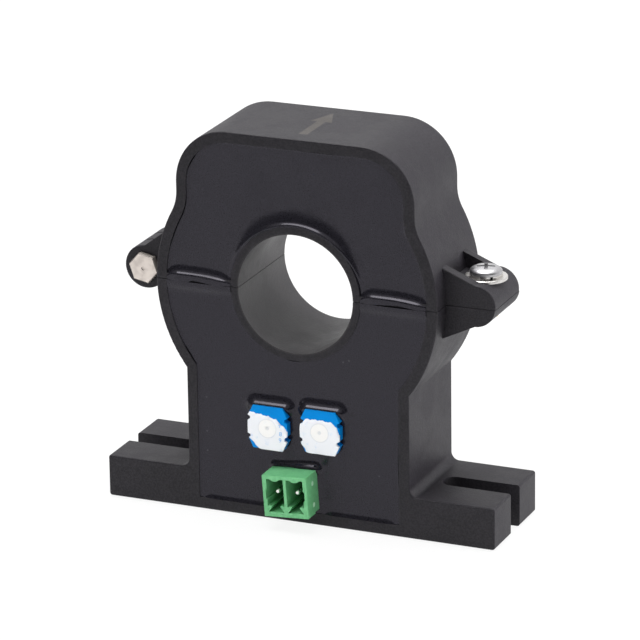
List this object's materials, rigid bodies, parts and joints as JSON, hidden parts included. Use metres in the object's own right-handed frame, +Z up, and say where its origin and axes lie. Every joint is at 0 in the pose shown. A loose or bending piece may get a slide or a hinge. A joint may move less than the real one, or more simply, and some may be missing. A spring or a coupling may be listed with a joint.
{
  "type": "split-core current transducer",
  "caption": "Split-core current transducer: slotted base, resin-filled body round a conductor bore, hinged cap held shut by a clamp screw, plug header and trimmers on the front.",
  "frame": {"origin": "centre of the base's bottom face", "axes": "+Z up, +Y along the bore from the resin-filled face to the plain back, +X from the hinge to the clamp screw"},
  "size_m": [0.075, 0.0256, 0.0715],
  "materials": {
    "housing": "matt moulded black, fine grain",
    "potting_resin": "glossy cast black resin",
    "core_steel": "strip-wound core, cut faces ground",
    "cushion_rubber": "soft foam rubber",
    "wrap_tape": "polyester insulating tape",
    "winding_wire": "enamelled copper wire",
    "lead_insulation": "insulated lead wire",
    "board_laminate": "solder-masked laminate",
    "chip_body": "moulded component body",
    "capacitor_body": "component body",
    "header_green": "semi-gloss moulded green",
    "contact_tin": "tin-plated contact",
    "trimmer_blue": "glossy moulded blue",
    "rotor_metal": "plated rotor",
    "sealing_compound": "white sealing compound",
    "fastener_steel": "satin nickel-plated steel",
    "insert_brass": "turned brass"
  },
  "bodies": {
    "base": {"lower_housing": "housing", "lower_potting": "potting_resin", "lower_core": "core_steel", "core_wrap": "wrap_tape", "secondary_winding": "winding_wire", "lead_wires": "lead_insulation", "circuit_board": "board_laminate", "amplifier": "chip_body", "bridge_rectifier": "chip_body", "storage_capacitor": "capacitor_body", "chip_resistors": "chip_body", "chip_capacitors": "capacitor_body", "header_shell": "header_green", "header_pins": "contact_tin", "zero_trimmer_case": "trimmer_blue", "span_trimmer_case": "trimmer_blue", "zero_trimmer_rotor": "rotor_metal", "span_trimmer_rotor": "rotor_metal", "zero_trimmer_seal": "sealing_compound", "span_trimmer_seal": "sealing_compound", "trimmer_pins": "contact_tin", "clamp_insert": "insert_brass"},
    "cap": {"upper_housing": "housing", "upper_potting": "potting_resin", "upper_core": "core_steel", "core_cushion": "cushion_rubber", "hinge_pin": "fastener_steel", "hinge_nut": "fastener_steel"},
    "washers": {"flat_washer": "fastener_steel", "spring_washer": "fastener_steel"},
    "clamp_screw": {"clamp_screw": "fastener_steel"}
  },
  "joints": [
    {"name": "cap_swing", "type": "hinge", "parent": "base", "child": "cap", "pos_m": [-0.03105, 0, 0.0432], "axis": [0, -1, 0], "range_deg": [0, 100]},
    {"name": "clamp_screw_lift", "type": "slide", "parent": "cap", "child": "washers", "axis": [0, 0, 1], "range_m": [0, 0.0035]},
    {"name": "clamp_screw_turn", "type": "hinge", "parent": "washers", "child": "clamp_screw", "pos_m": [0.032, 0, 0.04775], "axis": [0, 0, 1], "range_deg": [0, 2520]}
  ],
  "couplings": [
    {"joint": "clamp_screw_turn", "follows": "clamp_screw_lift", "rad_per_m": 12566}
  ]
}
